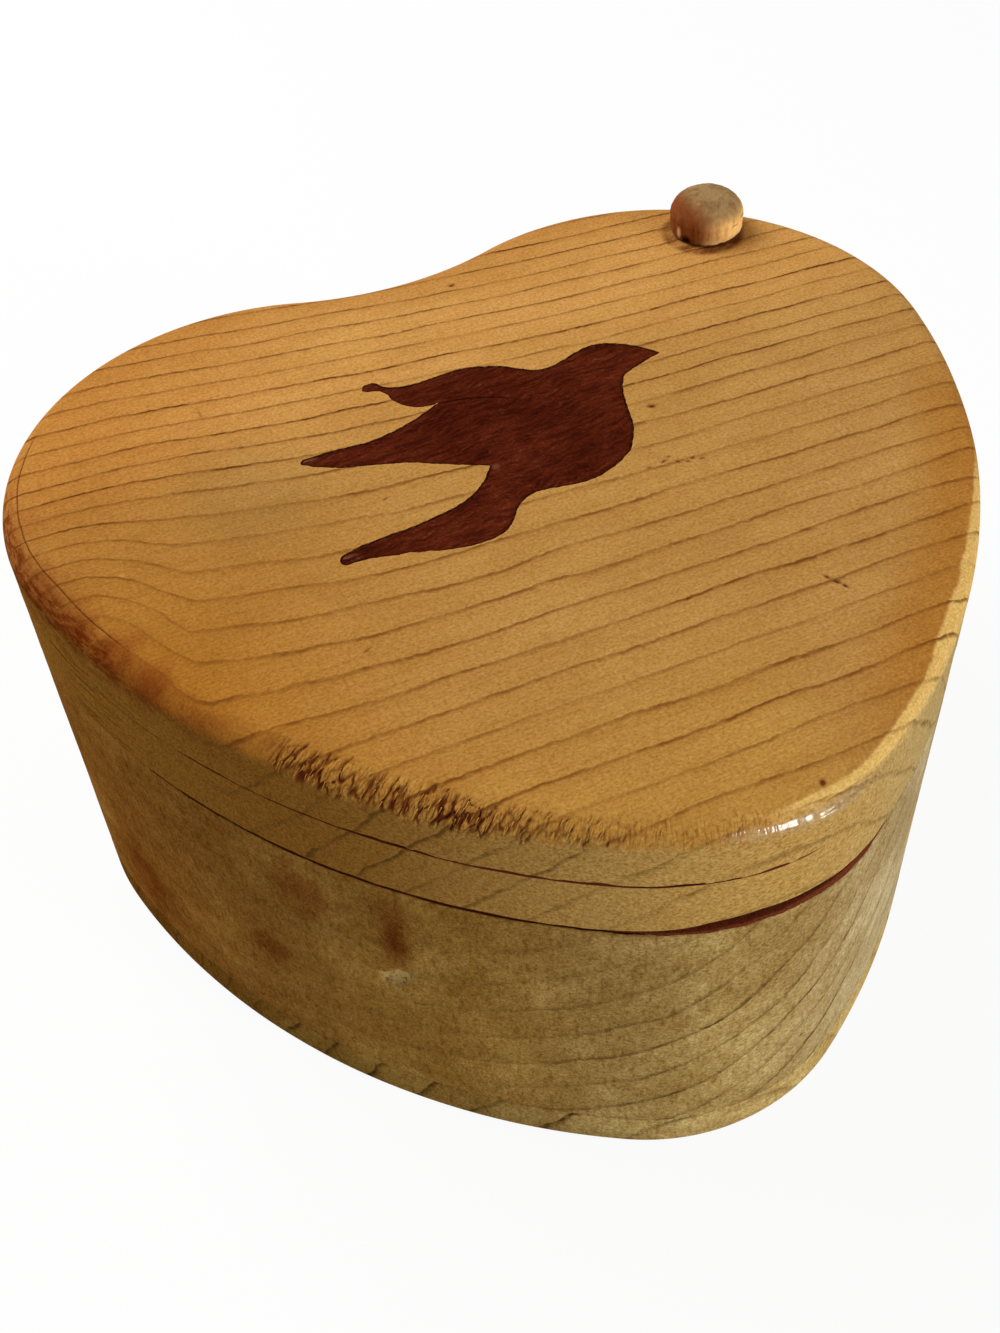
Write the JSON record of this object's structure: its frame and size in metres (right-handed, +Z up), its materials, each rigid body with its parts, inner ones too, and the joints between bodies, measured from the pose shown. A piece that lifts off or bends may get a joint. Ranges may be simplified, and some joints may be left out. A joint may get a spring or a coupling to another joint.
{
  "type": "trinket box",
  "caption": "Heart-shaped wooden trinket box with a felt-lined hollow. Its lid, inlaid with a dark bird, swings aside on a round-headed wooden peg.",
  "frame": {"origin": "on the table, under the middle of the heart's width and length", "axes": "+X across the heart, towards the lobe with the peg; +Y from the heart's tip to its notch; +Z up"},
  "size_m": [0.13, 0.116, 0.0734],
  "materials": {
    "base_wood": "varnished, satin",
    "body_wood": "varnished, satin",
    "under_board_wood": "varnished, satin",
    "top_board_wood": "varnished, satin",
    "inlay_wood": "varnished, satin",
    "peg_wood": "varnished, satin",
    "felt": "short felt"
  },
  "bodies": {
    "box": {"base_board": "base_wood", "body_ring": "body_wood", "wall_felt": "felt", "floor_felt": "felt", "rim_felt": "felt", "pivot_peg": "peg_wood"},
    "lid": {"lid_under_board": "under_board_wood", "lid_top_board": "top_board_wood", "bird_inlay": "inlay_wood"}
  },
  "joints": [
    {"name": "lid_swing", "type": "hinge", "parent": "box", "child": "lid", "pos_m": [0.04672, 0.0434, 0.0487], "axis": [0, 0, 1], "continuous": true}
  ]
}
